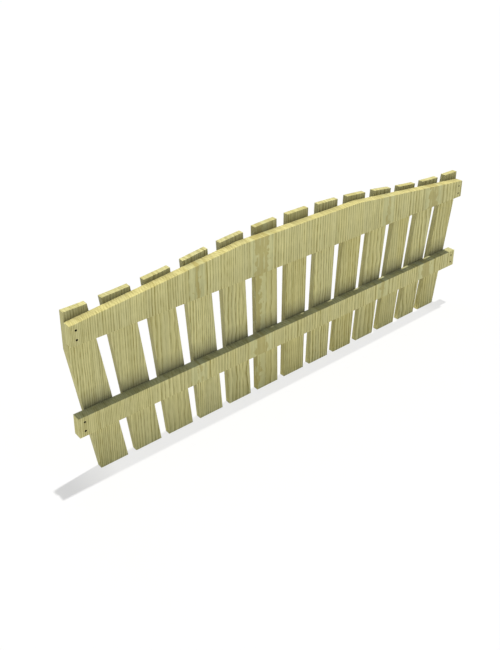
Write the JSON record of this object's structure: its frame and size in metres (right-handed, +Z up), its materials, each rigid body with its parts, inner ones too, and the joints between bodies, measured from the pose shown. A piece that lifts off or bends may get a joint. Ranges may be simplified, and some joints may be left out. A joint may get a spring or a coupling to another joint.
{
  "type": "picket fence panel",
  "caption": "Low timber picket fence panel with an arched crown: flat pickets fanned out behind a straight bottom rail and a top rail that rises to a level middle, drilled at both ends.",
  "frame": {"origin": "on the post side of the bottom rail's left end, midway between its two fixing holes", "axes": "+X along the rails, +Y from the post side of the rails towards the back of the pickets, +Z up"},
  "size_m": [1.8, 0.054, 0.6595],
  "materials": {
    "rail_timber": "pressure treated, sawn matt",
    "picket_timber": "pressure treated, sawn matt"
  },
  "bodies": {
    "root": {"bottom_rail": "rail_timber", "top_rail": "rail_timber", "picket_01": "picket_timber", "picket_02": "picket_timber", "picket_03": "picket_timber", "picket_04": "picket_timber", "picket_05": "picket_timber", "picket_06": "picket_timber", "picket_07": "picket_timber", "picket_08": "picket_timber", "picket_09": "picket_timber", "picket_10": "picket_timber", "picket_11": "picket_timber", "picket_12": "picket_timber", "picket_13": "picket_timber"}
  },
  "joints": []
}
